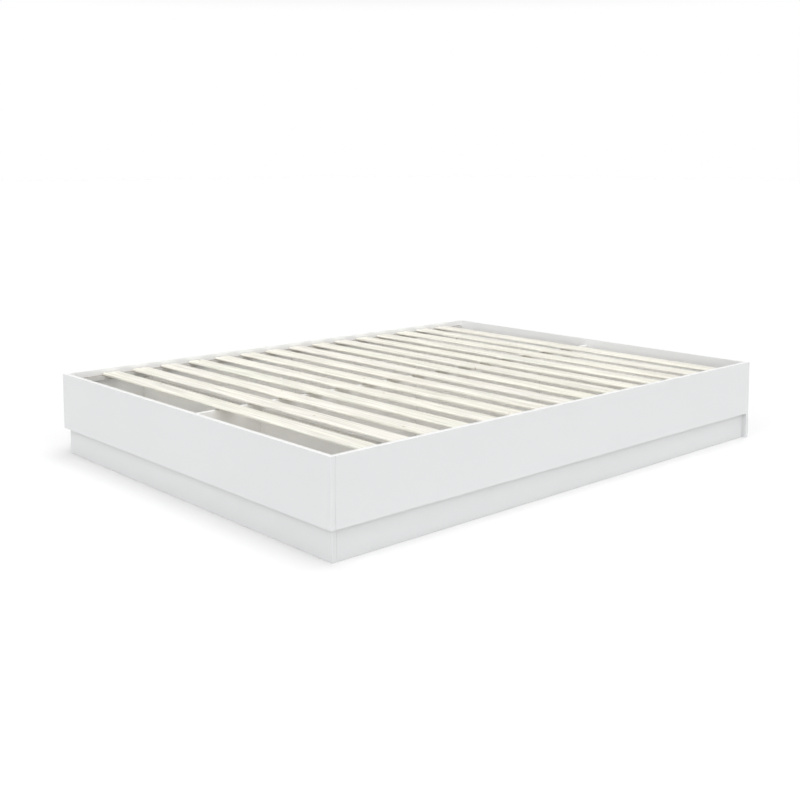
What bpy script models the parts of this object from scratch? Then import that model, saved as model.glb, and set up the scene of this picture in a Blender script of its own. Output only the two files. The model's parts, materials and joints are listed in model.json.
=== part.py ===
"""A queen platform bed: white laminated boards on a recessed plinth, with a deck of flat wooden slats.

Run it with blender --background --python part.py, or from Blender's text editor. Lengths are in metres.
The floor is z = 0 and +Z is up. The foot end is at -Y, the head end at +Y, and left is -X.
"""

import math

import bpy
from mathutils import Vector

# The box of boards
BOARD = 0.016
INNER_WIDTH = 1.536
INNER_LENGTH = 2.048
RAIL_HEIGHT = 0.202
TOE_HEIGHT = 0.095
PLINTH_OVERLAP = 0.064
EDGE_ROUND = 0.001

# The slatted deck
SLAT_COUNT = 15
SLAT_WIDTH = 0.068
SLAT_THICKNESS = 0.008
SLAT_ROUND = 0.0025
SLAT_END_GAP = 0.005
DECK_DROP = 0.014
FOOT_MARGIN = 0.131
HEAD_MARGIN = 0.119
LEDGER_HEIGHT = 0.016
LEDGER_END_GAP = 0.017

# The boards under the deck
CENTRE_BELOW_SLATS = 0.006
CROSS_COUNT = 3
CROSS_FROM_END = 0.314
CROSS_BELOW_CENTRE = 0.023

# Pan head screws
SCREW_DIAMETER = 0.004
SCREW_TIP = 0.003
SCREW_HEAD_DIAMETER = 0.008
SCREW_HEAD_HEIGHT = 0.0025
SCREW_HEAD_CROWN_SHARE = 0.6
SCREW_BITE_SHARE = 0.7

# Cam locks and dowels where a rail meets an end panel
CAM_DIAMETER = 0.015
CAM_DEPTH_SHARE = 0.78
CAM_REACH = 0.034
CAM_SLOT_WIDTH = 0.0015
CAM_SLOT_DEPTH = 0.0015
BOLT_DIAMETER = 0.006
BOLT_NECK_DIAMETER = 0.004
BOLT_HEAD_LENGTH = 0.005
BOLT_NECK_LENGTH = 0.006
BOLT_BITE_SHARE = 0.68
DOWEL_DIAMETER = 0.008
DOWEL_REACH = 0.020
DOWEL_BITE_SHARE = 0.62
DOWEL_CHAMFER = 0.001
CAM_HEIGHT_SHARE = 0.58
DOWEL_HEIGHT_SHARE = 0.26

# Steel angles in the foot corners of the plinth
ANGLE_LEG = 0.040
ANGLE_THICKNESS = 0.002
ANGLE_HEIGHT = 0.030

# Clearances and resolution
JOINT_GAP = 0.0003
OVERRUN = 0.005
WELD_DISTANCE = 0.00001
SHARP_ANGLE = math.radians(40)
ROUND_SIDES = 24
SCREW_SIDES = 12

# Heights and places that follow from the sizes above
BED_HEIGHT = TOE_HEIGHT + RAIL_HEIGHT
SEAT = BED_HEIGHT - DECK_DROP - SLAT_THICKNESS
PLINTH_HEIGHT = TOE_HEIGHT + PLINTH_OVERLAP
LEDGER_TOP = SEAT - JOINT_GAP
LEDGER_BOTTOM = LEDGER_TOP - LEDGER_HEIGHT
CENTRE_TOP = SEAT - CENTRE_BELOW_SLATS
CROSS_TOP = CENTRE_TOP - CROSS_BELOW_CENTRE
LAP_HEIGHT = CROSS_TOP / 2
HALF_WIDTH = INNER_WIDTH / 2
HALF_LENGTH = INNER_LENGTH / 2
PLINTH_FACE = HALF_WIDTH - JOINT_GAP
PLINTH_INSIDE = PLINTH_FACE - BOARD
FOOT_PLINTH_FACE = HALF_LENGTH - JOINT_GAP
FOOT_PLINTH_INSIDE = FOOT_PLINTH_FACE - BOARD
SCREW_LENGTH = BOARD + JOINT_GAP + BOARD * SCREW_BITE_SHARE
BORE_RADIUS = SCREW_DIAMETER / 2 + JOINT_GAP
SIDES = (("left", -1), ("right", 1))
ENDS = (("foot", -1), ("head", 1))


def clear_scene():
    """Remove every object that the startup scene holds."""
    for item in list(bpy.data.objects):
        bpy.data.objects.remove(item, do_unlink=True)


def new_collection(name):
    """Make a collection in the scene."""
    collection = bpy.data.collections.new(name)
    bpy.context.scene.collection.children.link(collection)
    return collection


def new_material(name, color, roughness, metallic=0):
    """Make a plain Principled material."""
    material = bpy.data.materials.new(name)
    material.use_nodes = True
    shader = material.node_tree.nodes["Principled BSDF"]
    shader.inputs["Base Color"].default_value = (*color, 1)
    shader.inputs["Roughness"].default_value = roughness
    shader.inputs["Metallic"].default_value = metallic
    return material


def file_in(item, collection):
    """Keep an object in one collection alone."""
    for other in list(item.users_collection):
        other.objects.unlink(item)
    collection.objects.link(item)


def smooth_round_faces(mesh):
    """Shade a round piece smooth, and leave its corners sharp."""
    mesh.shade_smooth()
    mesh.set_sharp_from_angle(angle=SHARP_ANGLE)


class Bed:
    """The collections, materials and named pieces of one bed."""

    def __init__(self):
        self.parts = new_collection("platform_bed")
        self.cutters = new_collection("platform_bed_cutters")
        self.origin = bpy.data.objects.new("bed_origin", None)
        self.parts.objects.link(self.origin)
        self.laminate = new_material("white_laminate", (0.79, 0.80, 0.81), 0.45)
        self.slat_wood = new_material("pale_slat_wood", (0.87, 0.79, 0.64), 0.6)
        self.dowel_wood = new_material("beech_dowel", (0.66, 0.45, 0.27), 0.65)
        self.zinc = new_material("zinc_plated_steel", (0.68, 0.68, 0.66), 0.35, metallic=1)

    def keep(self, item, name, material):
        """Name a finished piece, give it its material and hang it on the bed's origin."""
        item.name = name
        if not item.data.materials:
            item.data.name = name
            item.data.materials.append(material)
        item.parent = self.origin
        file_in(item, self.parts)
        return item

    def keep_cutter(self, item, name):
        """Set a shape aside as a cutter."""
        item.name = name
        item.hide_render = True
        item.display_type = "WIRE"
        file_in(item, self.cutters)
        return item

    def piece(self, name):
        """Find a piece by its name."""
        return self.parts.objects[name]


def add_box(low, high):
    """Add a box between two opposite corners."""
    size = [b - a for a, b in zip(low, high)]
    centre = [(a + b) / 2 for a, b in zip(low, high)]
    bpy.ops.mesh.primitive_cube_add(size=1, location=centre)
    box = bpy.context.object
    box.scale = size
    bpy.ops.object.transform_apply(location=False, rotation=False, scale=True)
    return box


def add_rod(radius, start, end, sides=ROUND_SIDES):
    """Add a cylinder between two points."""
    start = Vector(start)
    line = Vector(end) - start
    bpy.ops.mesh.primitive_cylinder_add(vertices=sides, radius=radius, depth=line.length)
    rod = bpy.context.object
    rod.location = start + line / 2
    rod.rotation_euler = line.to_track_quat("Z", "Y").to_euler()
    smooth_round_faces(rod.data)
    return rod


def turned_mesh(profile):
    """Turn a profile of (radius, height) points, listed from its top, round the Z axis."""
    mesh = bpy.data.meshes.new("profile")
    points = [(radius, 0, height) for radius, height in profile]
    mesh.from_pydata(points, [(i, i + 1) for i in range(len(points) - 1)], [])
    outline = bpy.data.objects.new("profile", mesh)
    bpy.context.scene.collection.objects.link(outline)
    turn = outline.modifiers.new("Turn", "SCREW")
    turn.steps = SCREW_SIDES
    turn.render_steps = SCREW_SIDES
    turn.use_merge_vertices = True
    turn.merge_threshold = WELD_DISTANCE
    turned = bpy.data.meshes.new_from_object(outline.evaluated_get(bpy.context.evaluated_depsgraph_get()))
    bpy.data.objects.remove(outline, do_unlink=True)
    smooth_round_faces(turned)
    return turned


def place_turned(mesh, place, direction):
    """Put a turned mesh down with its axis along a direction."""
    turned = bpy.data.objects.new("turned", mesh)
    turned.location = place
    turned.rotation_euler = Vector(direction).to_track_quat("Z", "Y").to_euler()
    return turned


def round_edges(item, width, segments=2):
    """Round the sharp edges of a box or of a rod's ends."""
    bevel = item.modifiers.new("Rounded edges", "BEVEL")
    bevel.width = width
    bevel.segments = segments
    bevel.angle_limit = SHARP_ANGLE
    return item


def cut(item, cutter):
    """Cut a cutter's shape out of a piece."""
    boolean = item.modifiers.new(cutter.name, "BOOLEAN")
    boolean.object = cutter
    return boolean


def drill(item, bore):
    """Drill a bore into a piece. The exact solver leaves some small bores in the long boards open."""
    cut(item, bore).solver = "MANIFOLD"


def add_board(bed, name, low, high):
    """Add one laminated board with its edge bands rounded."""
    board = round_edges(add_box(low, high), EDGE_ROUND)
    return bed.keep(board, name, bed.laminate)


def cross_places():
    """Where the cross panels stand, from the foot end to the head end."""
    first = -HALF_LENGTH + CROSS_FROM_END
    step = -2 * first / (CROSS_COUNT - 1)
    return [first + step * i for i in range(CROSS_COUNT)]


def bay_places():
    """The middle of each bay between the foot plinth, the cross panels and the head panel."""
    walls = [-FOOT_PLINTH_INSIDE, *cross_places(), HALF_LENGTH]
    return [(a + b) / 2 for a, b in zip(walls, walls[1:])]


def slat_places():
    """Where the middle line of each slat lies, from the foot end to the head end."""
    first = -HALF_LENGTH + FOOT_MARGIN + SLAT_WIDTH / 2
    last = HALF_LENGTH - HEAD_MARGIN - SLAT_WIDTH / 2
    step = (last - first) / (SLAT_COUNT - 1)
    return [first + step * i for i in range(SLAT_COUNT)]


def side_span(side, inner, outer):
    """The low and high X of a piece that lies between two distances from the middle, on one side."""
    return sorted((side * inner, side * outer))


def build_outer_boards(bed):
    """The foot panel, the head panel that stands on the floor, and the rails between them."""
    outer = HALF_WIDTH + BOARD
    add_board(
        bed, "foot_panel", (-outer, -HALF_LENGTH - BOARD, TOE_HEIGHT), (outer, -HALF_LENGTH, BED_HEIGHT)
    )
    add_board(bed, "head_panel", (-outer, HALF_LENGTH, 0), (outer, HALF_LENGTH + BOARD, BED_HEIGHT))
    reach = HALF_LENGTH - JOINT_GAP
    for word, side in SIDES:
        low, high = side_span(side, HALF_WIDTH, outer)
        add_board(bed, f"side_rail_{word}", (low, -reach, TOE_HEIGHT), (high, reach, BED_HEIGHT))


def build_plinth(bed):
    """The recessed boards that stand on the floor behind the foot panel and the rails."""
    add_board(
        bed,
        "foot_plinth",
        (-PLINTH_FACE, -FOOT_PLINTH_FACE, 0),
        (PLINTH_FACE, -FOOT_PLINTH_INSIDE, PLINTH_HEIGHT),
    )
    start = -FOOT_PLINTH_INSIDE + JOINT_GAP
    for word, side in SIDES:
        low, high = side_span(side, PLINTH_INSIDE, PLINTH_FACE)
        end = HALF_LENGTH - JOINT_GAP
        add_board(bed, f"side_plinth_{word}", (low, start, 0), (high, end, PLINTH_HEIGHT))


def build_ledgers(bed):
    """The strips on the rails that carry the slat ends."""
    reach = HALF_LENGTH - LEDGER_END_GAP
    for word, side in SIDES:
        low, high = side_span(side, PLINTH_INSIDE, PLINTH_FACE)
        add_board(bed, f"ledger_{word}", (low, -reach, LEDGER_BOTTOM), (high, reach, LEDGER_TOP))


def build_cross_lap(bed):
    """The centre board and the cross panels, slotted into each other and standing on the floor."""
    half_board = BOARD / 2
    start = -FOOT_PLINTH_INSIDE + JOINT_GAP
    centre = add_board(
        bed, "centre_board", (-half_board, start, 0), (half_board, HALF_LENGTH - JOINT_GAP, CENTRE_TOP)
    )
    reach = HALF_WIDTH - JOINT_GAP
    slot = half_board + JOINT_GAP
    for number, y in enumerate(cross_places(), 1):
        low = (-reach, y - half_board, 0)
        panel = add_board(bed, f"cross_panel_{number}", low, (reach, y + half_board, CROSS_TOP))
        below = add_box(
            (-slot - OVERRUN, y - slot, -OVERRUN), (slot + OVERRUN, y + slot, LAP_HEIGHT + JOINT_GAP)
        )
        cut(centre, bed.keep_cutter(below, f"centre_slot_{number}"))
        above = add_box(
            (-slot, y - slot - OVERRUN, LAP_HEIGHT - JOINT_GAP),
            (slot, y + slot + OVERRUN, CROSS_TOP + OVERRUN),
        )
        cut(panel, bed.keep_cutter(above, f"cross_slot_{number}"))
        for word, side in SIDES:
            low, high = side_span(side, PLINTH_INSIDE - JOINT_GAP, HALF_WIDTH + OVERRUN)
            notch = add_box(
                (low, y - slot - OVERRUN, -OVERRUN), (high, y + slot + OVERRUN, PLINTH_HEIGHT + JOINT_GAP)
            )
            cut(panel, bed.keep_cutter(notch, f"plinth_notch_{word}_{number}"))


def build_slats(bed):
    """The slats, laid from ledger to ledger just above the centre board, which stops them when they bend."""
    reach = HALF_WIDTH - SLAT_END_GAP
    half = SLAT_WIDTH / 2
    for number, y in enumerate(slat_places(), 1):
        slat = add_box((-reach, y - half, SEAT), (reach, y + half, SEAT + SLAT_THICKNESS))
        bed.keep(round_edges(slat, SLAT_ROUND), f"slat_{number:02d}", bed.slat_wood)


def screw_profile():
    """The outline of a pan head wood screw, from the crown of its head to its point."""
    head = SCREW_HEAD_DIAMETER / 2
    shank = SCREW_DIAMETER / 2
    return [
        (0, SCREW_HEAD_HEIGHT),
        (head * SCREW_HEAD_CROWN_SHARE, SCREW_HEAD_HEIGHT),
        (head, SCREW_HEAD_HEIGHT * SCREW_HEAD_CROWN_SHARE),
        (head, 0),
        (shank, 0),
        (shank, SCREW_TIP - SCREW_LENGTH),
        (0, -SCREW_LENGTH),
    ]


def add_screw(bed, mesh, name, face, outward, through, into):
    """Screw one board to the board behind it, from a point on the first board's face."""
    face = Vector(face)
    outward = Vector(outward)
    bed.keep(place_turned(mesh, face + outward * JOINT_GAP, outward), name, bed.zinc)
    bore = add_rod(BORE_RADIUS, face + outward * OVERRUN, face - outward * SCREW_LENGTH, SCREW_SIDES)
    bed.keep_cutter(bore, f"{name}_bore")
    drill(through, bore)
    drill(into, bore)


def build_screws(bed):
    """The screws through the plinth and the ledgers into the rails and the foot panel."""
    plinth_z = TOE_HEIGHT + PLINTH_OVERLAP / 2
    ledger_z = (LEDGER_BOTTOM + LEDGER_TOP) / 2
    mesh = turned_mesh(screw_profile())
    for word, side in SIDES:
        rail = bed.piece(f"side_rail_{word}")
        x = side * PLINTH_INSIDE
        for number, y in enumerate(bay_places(), 1):
            for strip, z in (("side_plinth", plinth_z), ("ledger", ledger_z)):
                name = f"{strip}_screw_{word}_{number}"
                board = bed.piece(f"{strip}_{word}")
                add_screw(bed, mesh, name, (x, y, z), (-side, 0, 0), board, rail)
        place = (side * HALF_WIDTH / 2, -FOOT_PLINTH_INSIDE, plinth_z)
        name = f"foot_plinth_screw_{word}"
        add_screw(bed, mesh, name, place, (0, 1, 0), bed.piece("foot_plinth"), bed.piece("foot_panel"))


def bolt_profile():
    """The outline of a cam bolt, from the head that the cam grips to the end in the panel."""
    head = CAM_REACH
    neck = head - BOLT_HEAD_LENGTH
    stem = neck - BOLT_NECK_LENGTH
    bite = BOARD * BOLT_BITE_SHARE
    thick = BOLT_DIAMETER / 2
    thin = BOLT_NECK_DIAMETER / 2
    return [
        (0, head),
        (thick, head),
        (thick, neck),
        (thin, neck),
        (thin, stem),
        (thick, stem),
        (thick, -bite),
        (0, -bite),
    ]


def build_corner_fittings(bed):
    """A cam lock with its bolt, and a dowel, at each corner where a rail meets an end panel."""
    x_middle = HALF_WIDTH + BOARD / 2
    cam_z = TOE_HEIGHT + RAIL_HEIGHT * CAM_HEIGHT_SHARE
    dowel_z = TOE_HEIGHT + RAIL_HEIGHT * DOWEL_HEIGHT_SHARE
    cam_radius = CAM_DIAMETER / 2
    cam_depth = BOARD * CAM_DEPTH_SHARE
    bolt_mesh = turned_mesh(bolt_profile())
    for end_word, end in ENDS:
        panel = bed.piece(f"{end_word}_panel")
        face_y = end * HALF_LENGTH
        for word, side in SIDES:
            corner = f"{end_word}_{word}"
            rail = bed.piece(f"side_rail_{word}")
            x = side * x_middle

            bolt_end = face_y - end * (CAM_REACH + JOINT_GAP)
            bolt_start = face_y + end * (BOARD * BOLT_BITE_SHARE + JOINT_GAP)
            bolt = place_turned(bolt_mesh, (x, face_y, cam_z), (0, -end, 0))
            bed.keep(bolt, f"cam_bolt_{corner}", bed.zinc)
            bolt_bore = add_rod(
                BOLT_DIAMETER / 2 + JOINT_GAP, (x, bolt_start, cam_z), (x, bolt_end, cam_z), SCREW_SIDES
            )
            bed.keep_cutter(bolt_bore, f"cam_bolt_bore_{corner}")

            cam_y = face_y - end * CAM_REACH
            cam_face = side * HALF_WIDTH
            cam_floor = side * (HALF_WIDTH + cam_depth)
            cam = add_rod(cam_radius, (cam_face, cam_y, cam_z), (cam_floor, cam_y, cam_z))
            bed.keep(cam, f"cam_lock_{corner}", bed.zinc)
            low, high = side_span(side, HALF_WIDTH - OVERRUN, HALF_WIDTH + CAM_SLOT_DEPTH)
            half_slot = CAM_SLOT_WIDTH / 2
            slot = add_box(
                (low, cam_y - cam_radius - OVERRUN, cam_z - half_slot),
                (high, cam_y + cam_radius + OVERRUN, cam_z + half_slot),
            )
            cut(cam, bed.keep_cutter(slot, f"cam_driver_slot_{corner}"))
            pocket = add_rod(
                cam_radius + JOINT_GAP,
                (side * (HALF_WIDTH - OVERRUN), cam_y, cam_z),
                (cam_floor + side * JOINT_GAP, cam_y, cam_z),
            )
            drill(rail, bed.keep_cutter(pocket, f"cam_pocket_{corner}"))
            for item in (panel, rail, cam):
                drill(item, bolt_bore)

            start_y = face_y + end * BOARD * DOWEL_BITE_SHARE
            end_y = face_y - end * DOWEL_REACH
            dowel = add_rod(DOWEL_DIAMETER / 2, (x, start_y, dowel_z), (x, end_y, dowel_z), SCREW_SIDES)
            bed.keep(round_edges(dowel, DOWEL_CHAMFER, 1), f"dowel_{corner}", bed.dowel_wood)
            bore = add_rod(
                DOWEL_DIAMETER / 2 + JOINT_GAP,
                (x, start_y + end * JOINT_GAP, dowel_z),
                (x, end_y - end * JOINT_GAP, dowel_z),
                SCREW_SIDES,
            )
            bed.keep_cutter(bore, f"dowel_bore_{corner}")
            drill(panel, bore)
            drill(rail, bore)


def build_angles(bed):
    """Steel angles that tie the side plinths to the foot plinth."""
    y = -FOOT_PLINTH_INSIDE + JOINT_GAP
    low_z = (TOE_HEIGHT - ANGLE_HEIGHT) / 2
    high_z = low_z + ANGLE_HEIGHT
    for word, side in SIDES:
        outside = PLINTH_INSIDE - JOINT_GAP
        low, high = side_span(side, outside - ANGLE_LEG, outside)
        angle = add_box((low, y, low_z), (high, y + ANGLE_LEG, high_z))
        bed.keep(angle, f"corner_angle_{word}", bed.zinc)
        low, high = side_span(side, outside - ANGLE_LEG - OVERRUN, outside - ANGLE_THICKNESS)
        inside = add_box(
            (low, y + ANGLE_THICKNESS, low_z - OVERRUN), (high, y + ANGLE_LEG + OVERRUN, high_z + OVERRUN)
        )
        cut(angle, bed.keep_cutter(inside, f"corner_angle_inside_{word}"))


def main():
    """Build the whole bed."""
    clear_scene()
    bed = Bed()
    build_outer_boards(bed)
    build_plinth(bed)
    build_ledgers(bed)
    build_cross_lap(bed)
    build_slats(bed)
    build_screws(bed)
    build_corner_fittings(bed)
    build_angles(bed)


main()
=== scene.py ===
"""A white platform bed with a slatted deck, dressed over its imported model.

Run it with blender --background --python scene.py. Lengths are in metres. The floor is z = 0 and +Z is up.
The foot end is at -Y, the head end at +Y, and left is -X.
"""

import json
import math

import bpy
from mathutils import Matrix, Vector

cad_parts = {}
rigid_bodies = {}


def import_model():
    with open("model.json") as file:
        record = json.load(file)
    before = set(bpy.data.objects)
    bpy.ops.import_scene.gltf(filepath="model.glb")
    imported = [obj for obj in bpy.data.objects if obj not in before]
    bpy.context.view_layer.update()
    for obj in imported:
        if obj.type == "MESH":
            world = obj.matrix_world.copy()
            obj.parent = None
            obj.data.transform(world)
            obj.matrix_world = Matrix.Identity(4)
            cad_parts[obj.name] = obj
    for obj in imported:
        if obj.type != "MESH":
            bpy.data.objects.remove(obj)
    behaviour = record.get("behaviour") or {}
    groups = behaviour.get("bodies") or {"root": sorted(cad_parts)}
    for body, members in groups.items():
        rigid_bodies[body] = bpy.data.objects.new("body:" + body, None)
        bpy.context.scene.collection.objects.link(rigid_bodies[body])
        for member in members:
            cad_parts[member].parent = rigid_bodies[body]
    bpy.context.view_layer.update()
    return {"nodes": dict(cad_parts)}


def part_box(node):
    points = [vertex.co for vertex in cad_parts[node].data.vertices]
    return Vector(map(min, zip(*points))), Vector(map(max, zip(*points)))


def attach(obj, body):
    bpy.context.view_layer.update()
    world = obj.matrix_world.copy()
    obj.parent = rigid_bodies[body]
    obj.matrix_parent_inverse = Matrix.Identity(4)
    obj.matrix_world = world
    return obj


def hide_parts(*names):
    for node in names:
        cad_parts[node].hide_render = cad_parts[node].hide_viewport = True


bl_info = {
    "name": "Platform bed",
    "version": (1, 0, 0),
    "blender": (4, 5, 0),
    "location": "View3D > Sidebar > Platform bed",
    "description": "Laminated boards, wooden slats, fittings and a studio for a platform bed",
    "category": "Object",
}

for startup_item in list(bpy.data.objects):
    bpy.data.objects.remove(startup_item, do_unlink=True)
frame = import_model()

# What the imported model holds
SLAT_NODES = sorted(name for name in frame["nodes"] if name.startswith("slat_"))
SLAT_LOW, SLAT_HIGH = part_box(SLAT_NODES[0])
SLAT_SIZE = SLAT_HIGH - SLAT_LOW

# Painted light: the inner faces blend from one painted tone to another towards the slats, between two depths
# below them.
PAINTED_LIGHT_START = 0.10
PAINTED_LIGHT_END = 0.03
PAINTED_LIGHT_FADE = (SLAT_LOW.z - PAINTED_LIGHT_START, SLAT_LOW.z - PAINTED_LIGHT_END)

# The inner face of the head panel shows beside the plinth, up to the bottom of the rails; below there it
# keeps the outer faces' colour, without the painted light of the inner faces.
TOE_TOP = {"head_panel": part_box("side_rail_right")[0].z}

# Each board's thickness axis, and which way its outer face looks, or 0 for a board inside the bed
ACROSS_X = (1, 0, 0)
ACROSS_Y = (0, 1, 0)
BANDED_BOARDS = {
    "foot_panel": (ACROSS_Y, -1),
    "head_panel": (ACROSS_Y, 1),
    "side_rail_left": (ACROSS_X, -1),
    "side_rail_right": (ACROSS_X, 1),
    "centre_board": (ACROSS_X, 0),
    "cross_panel_1": (ACROSS_Y, 0),
    "cross_panel_2": (ACROSS_Y, 0),
    "cross_panel_3": (ACROSS_Y, 0),
    "foot_plinth": (ACROSS_Y, -1),
    "side_plinth_left": (ACROSS_X, -1),
    "side_plinth_right": (ACROSS_X, 1),
}

# The ledgers have no band on their top edge.
RAW_TOPPED_BOARDS = {
    "ledger_left": (ACROSS_X, 0),
    "ledger_right": (ACROSS_X, 0),
}

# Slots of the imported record
SLAT_SLOT = "pale_slat_wood"
STEEL_SLOT = "zinc_plated_steel"

# Where the screws' heads look: inwards from each side, towards the head end, or up
INWARD = {"left": Vector((1, 0, 0)), "right": Vector((-1, 0, 0))}
TO_HEAD = Vector((0, 1, 0))
UP = Vector((0, 0, 1))

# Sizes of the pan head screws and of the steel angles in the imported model
PAN_HEAD_RADIUS = 0.004
PAN_HEAD_HEIGHT = 0.0025
PAN_RIM_SHARE = 0.6
SHANK_RADIUS = 0.002
SCREW_LENGTH = 0.0275
ANGLE_THICKNESS = 0.002

# A screw's point and tip as shares of its shank's radius, and its recess as a share of its rim's radius
POINT_RADIUS_SHARE = 0.3
TIP_HEIGHT_SHARE = 2.0
RECESS_ARM_SHARE = 1.15

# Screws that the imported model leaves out
SLAT_SCREW_INSET = 0.006
SLAT_SCREW_RADIUS = 0.003
SLAT_SCREW_SINK = 0.0024
SLAT_SCREW_LENGTH = 0.020
SLAT_SCREW_CROWN = 0.0002
SLAT_SCREW_CROWN_SHARE = 0.9
SLAT_SHANK_RADIUS = 0.0015
SLAT_BORE_RADIUS = 0.0019
SINK_SIDE_ROOM = 0.0002
SINK_DEPTH_ROOM = 0.0001
ANGLE_SCREW_LENGTH = 0.015
ANGLE_SCREW_SHARES = (0.38, 0.78)

# Seeds for the turn of each row's cross recesses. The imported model's rows count up from 0.
ANGLE_SCREW_SEED = 20
SLAT_SCREW_SEED = 40

# Overlaps that keep joined and cut shapes closed
CONE_OVERLAP = 0.0002
SINK_OVERRUN = 0.00005

# Resolution of the round shapes, and the angles in degrees above which an edge stays sharp
SLAT_STATIONS = 33
SLAT_ROUND_POINTS = 3
BORE_SIDES = 12
HEAD_SIDES = 20
SHANK_SIDES = 12
SLAT_SHARP_ANGLE = 35
SCREW_SHARP_ANGLE = 30

# Seeds for each slat's own crown and sway, and the least share of the crown
CROWN_SEED = 3
SWAY_SEED = 8
LEAST_CROWN_SHARE = 0.2

# How fine the patterns are, in waves or cells per metre
LAMINATE_CLOUDS = 3.1
LAMINATE_SPECKLE = 420.0
LAMINATE_SHEEN = 14.0
LAMINATE_PEARL = 1100.0
CORE_CHIPS = 520.0
CORE_FIBRES = 900.0
ZINC_SPANGLE = 380.0
ZINC_STAIN = 90.0
ZINC_SHEEN = 1600.0
ZINC_RELIEF = 2400.0
FLOOR_CLOUDS = 1.5
FLOOR_SHEEN = 8.0

# The same for the wood: along, across and through a slat, and along X, Y and Z in a dowel
SLAT_WANDER = (0.9, 0, 0)
SLAT_RIPPLE = (2.2, 40, 40)
SLAT_KNOT_CELLS = (15, 15, 0)
SLAT_FIBRES = (9, 620, 620)
SLAT_STREAKS = (5, 150, 150)
SLAT_PATCHES = (2.4, 11, 11)
DOWEL_GRAIN = (900, 40, 900)
DOWEL_RAYS = (1500, 260, 1500)

# Depths of the reliefs in the wood, the zinc and the floor
SLAT_RELIEF_DEPTH = 0.00007
DOWEL_RELIEF_DEPTH = 0.00005
ZINC_RELIEF_DEPTH = 0.00001
FLOOR_RELIEF_DEPTH = 0.0001

# Half the width of a glue line, where it has faded out, and how dark it is
GLUE_LINE_HALF = 0.00006
GLUE_LINE_FADED = 0.00018
GLUE_LINE_SHADE = 0.10

# The raw core: how much chips and fibres add to its tone, and how rough it is
CHIP_SHARE = 0.6
FIBRE_SHARE = 0.5
CORE_ROUGHNESS = 0.85

# Reliefs of the raw core and of the glue line, as multiples of the pearl's
CORE_RELIEF = 4.0
GLUE_LINE_RELIEF = 8.0

# Growth rings: where in a ring the late wood starts and is darkest, how strong its tone is, and how far
# ripples push a ring, in rings
LATE_WOOD_SPAN = (0.35, 0.93)
LATE_WOOD_STRENGTH = 0.36
RIPPLE_PUSH = 0.9

# Knots: a cell holds one when its number is above the threshold. The fades are radii in cells.
KNOT_THRESHOLD = 0.955
KNOT_FADE = (0.03, 0.10)
KNOT_STRENGTH = 0.7
HALO_FADE = (0.05, 0.36)
HALO_PUSH = 1.4

# Smooth noise lies mostly between these values.
NOISE_RANGE = (0.3, 0.7)

# A surface counts as square to an axis when its normal's share along the axis is above this.
SQUARE_ON = 0.9

# The photograph's view
CAMERA_PLACE = (3.0278, -2.8311, 1.0679)
CAMERA_TILT = math.radians(5.0)
CAMERA_YAW = math.radians(47.716)
CAMERA_SHIFT = (-0.0010, -0.1753)
CAMERA_SENSOR = 36
CAMERA_FAR_END = 500

# The studio: how far the floor reaches, and where on the unit sphere the horizon fades into the walls
FLOOR_REACH = 60
HORIZON_FADE = (0.13, 0.20)

# Each lamp's elevation, its turn from the foot end round to the right, and its width, in degrees
TOP_LAMP = (79, 180, 50)
FOOT_LAMP = (35, 15, 75)
SIDE_LAMP = (35, 75, 75)


def float_property(name, description, default, **limits):
    """A number that the sidebar shows."""
    return bpy.props.FloatProperty(name=name, description=description, default=default, **limits)


def length_property(name, description, default):
    """A length that the sidebar shows in the scene's unit."""
    return float_property(name, description, default, min=0, unit="LENGTH", precision=4)


def colour_property(name, description, default):
    """A colour that the sidebar shows as a swatch."""
    return bpy.props.FloatVectorProperty(
        name=name, description=description, default=default, subtype="COLOR", size=3, min=0, max=1
    )


class BED_PG_boards(bpy.types.PropertyGroup):
    """The laminated boards' finish, and the painted light and shade on their tops, inner faces and ledgers.
    """

    laminate: colour_property("Laminate", "Colour of the outer faces", (0.628, 0.636, 0.639))
    # Painted light: this paler tone on every top and on the inner faces near the slats stands in for light
    # falling from above and bounced off the slats.
    painted_light_tone: colour_property("Painted Light", "Colour of the bands and inner faces on top", (0.845, 0.848, 0.842))
    # Painted light: this paler, warmer tone under the slats stands in for light bounced off the slats.
    inside: colour_property("Inside", "Colour of what lies under the slats", (0.895, 0.887, 0.860))
    # Painted shade: the ledgers are darker than the other inner boards, in place of the shade they lie in.
    ledger: colour_property("Ledgers", "Colour of the strips that carry the slats", (0.60, 0.59, 0.57))
    roughness: float_property("Roughness", "How matt the laminate is", 0.46, min=0, max=1)
    pearl: length_property("Pearl depth", "Depth of the laminate's fine pearl texture", 0.00003)
    edge_band: length_property("Edge band", "Thickness of the band on a board's edges", 0.001)
    core_light: colour_property("Core, light chips", "Pale chips of the raw core", (0.36, 0.33, 0.30))
    core_dark: colour_property("Core, dark chips", "Dark chips of the raw core", (0.19, 0.17, 0.15))


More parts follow.
